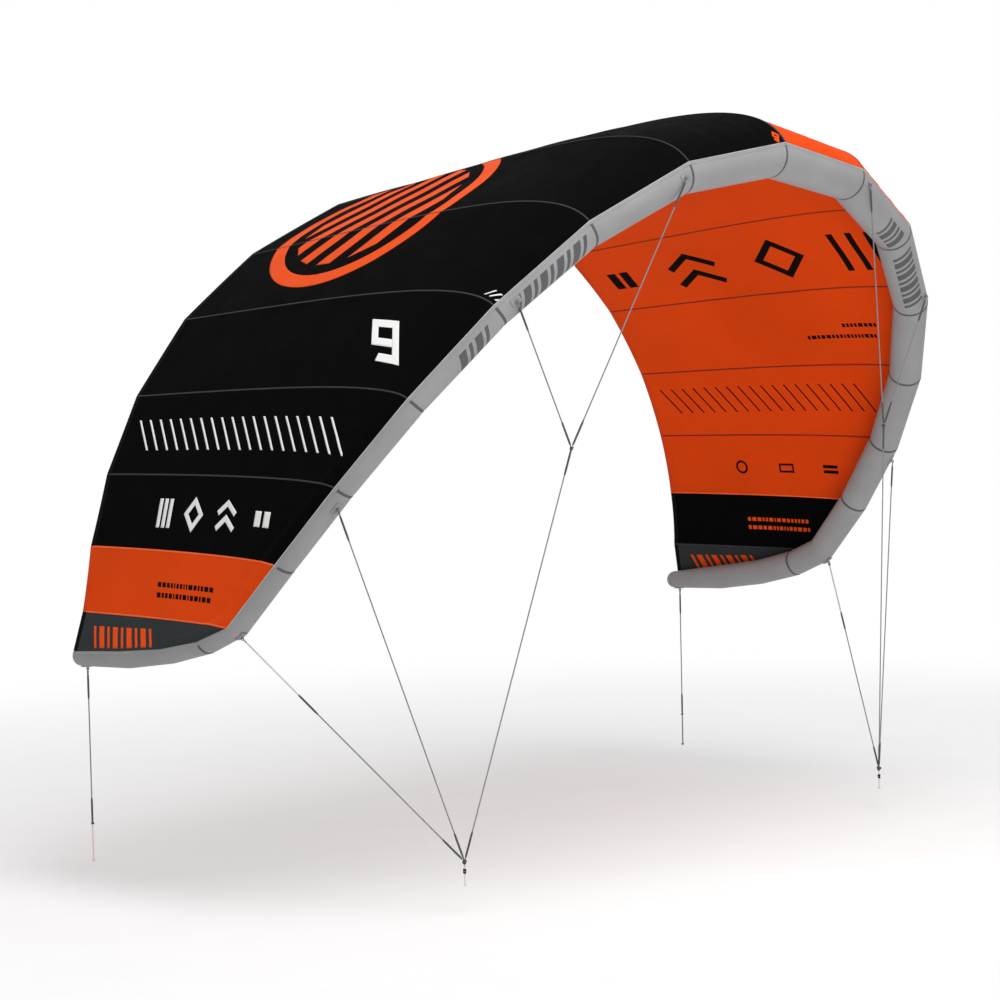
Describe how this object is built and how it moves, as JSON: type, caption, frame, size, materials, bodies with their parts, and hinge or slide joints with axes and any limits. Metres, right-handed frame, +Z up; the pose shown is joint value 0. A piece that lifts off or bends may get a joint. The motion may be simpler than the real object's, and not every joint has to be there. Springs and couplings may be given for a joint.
{
  "type": "kitesurf kite",
  "caption": "Strutless inflatable kitesurf kite in flight shape: cambered cloth canopy on a tapered air tube, with front bridles and rear lines.",
  "frame": {"origin": "middle of the leading edge tube", "axes": "+X to the right wing tip, +Y from the leading edge to the trailing edge, +Z up"},
  "size_m": [3.8168, 2.0901, 2.8646],
  "materials": {
    "cloth_black": "matt ripstop",
    "cloth_orange": "matt ripstop",
    "cloth_grey": "matt ripstop",
    "tube_cloth": "woven polyester, satin",
    "seam_tape": "woven tape",
    "webbing": "webbing",
    "bladder_film": "clear film",
    "valve_plastic": "moulded",
    "line_core": "braided",
    "line_sleeve": "braided",
    "line_pale_red": "braided"
  },
  "bodies": {
    "kite": {"canopy_left_1": "cloth_black", "canopy_left_2": "cloth_black", "canopy_left_3": "cloth_black", "canopy_left_4": "cloth_black", "canopy_left_5": "cloth_black", "canopy_left_6": "cloth_black", "canopy_left_7": "cloth_orange", "canopy_left_8": "cloth_grey", "canopy_right_1": "cloth_orange", "canopy_right_2": "cloth_orange", "canopy_right_3": "cloth_orange", "canopy_right_4": "cloth_orange", "canopy_right_5": "cloth_orange", "canopy_right_6": "cloth_orange", "canopy_right_7": "cloth_black", "canopy_right_8": "cloth_grey", "le_tube_left_1": "tube_cloth", "le_tube_left_2": "tube_cloth", "le_tube_left_3": "tube_cloth", "le_tube_left_4": "tube_cloth", "le_tube_left_5": "tube_cloth", "le_tube_left_6": "tube_cloth", "le_tube_left_7": "tube_cloth", "le_tube_left_8": "tube_cloth", "le_tube_right_1": "tube_cloth", "le_tube_right_2": "tube_cloth", "le_tube_right_3": "tube_cloth", "le_tube_right_4": "tube_cloth", "le_tube_right_5": "tube_cloth", "le_tube_right_6": "tube_cloth", "le_tube_right_7": "tube_cloth", "le_tube_right_8": "tube_cloth", "bladder": "bladder_film", "tube_seam_tapes": "seam_tape", "trailing_edge_band": "webbing", "tip_caps": "tube_cloth", "bridle_tabs": "webbing", "valve_body": "valve_plastic", "pump_leash_loop": "webbing", "bridle_line_1_left": "line_core", "bridle_line_2_left": "line_core", "bridle_line_3_left": "line_core", "bridle_line_4_left": "line_core", "bridle_line_1_right": "line_core", "bridle_line_2_right": "line_core", "bridle_line_3_right": "line_core", "bridle_line_4_right": "line_core", "bridle_main_left": "line_core", "bridle_main_right": "line_core"},
    "valve_cap_lid": {"valve_cap": "valve_plastic"},
    "front_link_left": {"front_knot_left": "line_sleeve"},
    "front_tail_left": {"front_pigtail_left": "line_core"},
    "rear_link_left": {"rear_knot_left": "line_sleeve"},
    "rear_rope_left": {"rear_line_left": "line_core"},
    "rear_tail_left": {"rear_pigtail_left": "line_pale_red"},
    "front_link_right": {"front_knot_right": "line_sleeve"},
    "front_tail_right": {"front_pigtail_right": "line_core"},
    "rear_link_right": {"rear_knot_right": "line_sleeve"},
    "rear_rope_right": {"rear_line_right": "line_core"},
    "rear_tail_right": {"rear_pigtail_right": "line_core"}
  },
  "joints": [
    {"name": "valve_cap_hinge", "type": "hinge", "parent": "kite", "child": "valve_cap_lid", "pos_m": [0.1584, 0.11714, -0.04188], "axis": [-0.9991, -0.0419, 0], "range_deg": [0, 120]},
    {"name": "front_sideways_left", "type": "hinge", "parent": "kite", "child": "front_link_left", "pos_m": [-1.335, 0.45, -2.59], "axis": [0, 1, 0], "range_deg": [-75, 75]},
    {"name": "front_forward_left", "type": "hinge", "parent": "front_link_left", "child": "front_tail_left", "pos_m": [-1.335, 0.45, -2.59], "axis": [1, 0, 0], "range_deg": [-75, 75]},
    {"name": "rear_sideways_left", "type": "hinge", "parent": "kite", "child": "rear_link_left", "pos_m": [-1.84479, 1.93479, -1.93081], "axis": [0, 1, 0], "range_deg": [-75, 75]},
    {"name": "rear_forward_left", "type": "hinge", "parent": "rear_link_left", "child": "rear_rope_left", "pos_m": [-1.84479, 1.93479, -1.93081], "axis": [1, 0, 0], "range_deg": [-75, 75]},
    {"name": "rear_tail_swing_left", "type": "hinge", "parent": "rear_rope_left", "child": "rear_tail_left", "pos_m": [-1.84479, 1.93479, -2.52081], "axis": [1, 0, 0], "range_deg": [-75, 75]},
    {"name": "front_sideways_right", "type": "hinge", "parent": "kite", "child": "front_link_right", "pos_m": [1.335, 0.45, -2.59], "axis": [0, 1, 0], "range_deg": [-75, 75]},
    {"name": "front_forward_right", "type": "hinge", "parent": "front_link_right", "child": "front_tail_right", "pos_m": [1.335, 0.45, -2.59], "axis": [1, 0, 0], "range_deg": [-75, 75]},
    {"name": "rear_sideways_right", "type": "hinge", "parent": "kite", "child": "rear_link_right", "pos_m": [1.84479, 1.93479, -1.93081], "axis": [0, 1, 0], "range_deg": [-75, 75]},
    {"name": "rear_forward_right", "type": "hinge", "parent": "rear_link_right", "child": "rear_rope_right", "pos_m": [1.84479, 1.93479, -1.93081], "axis": [1, 0, 0], "range_deg": [-75, 75]},
    {"name": "rear_tail_swing_right", "type": "hinge", "parent": "rear_rope_right", "child": "rear_tail_right", "pos_m": [1.84479, 1.93479, -2.52081], "axis": [1, 0, 0], "range_deg": [-75, 75]}
  ]
}
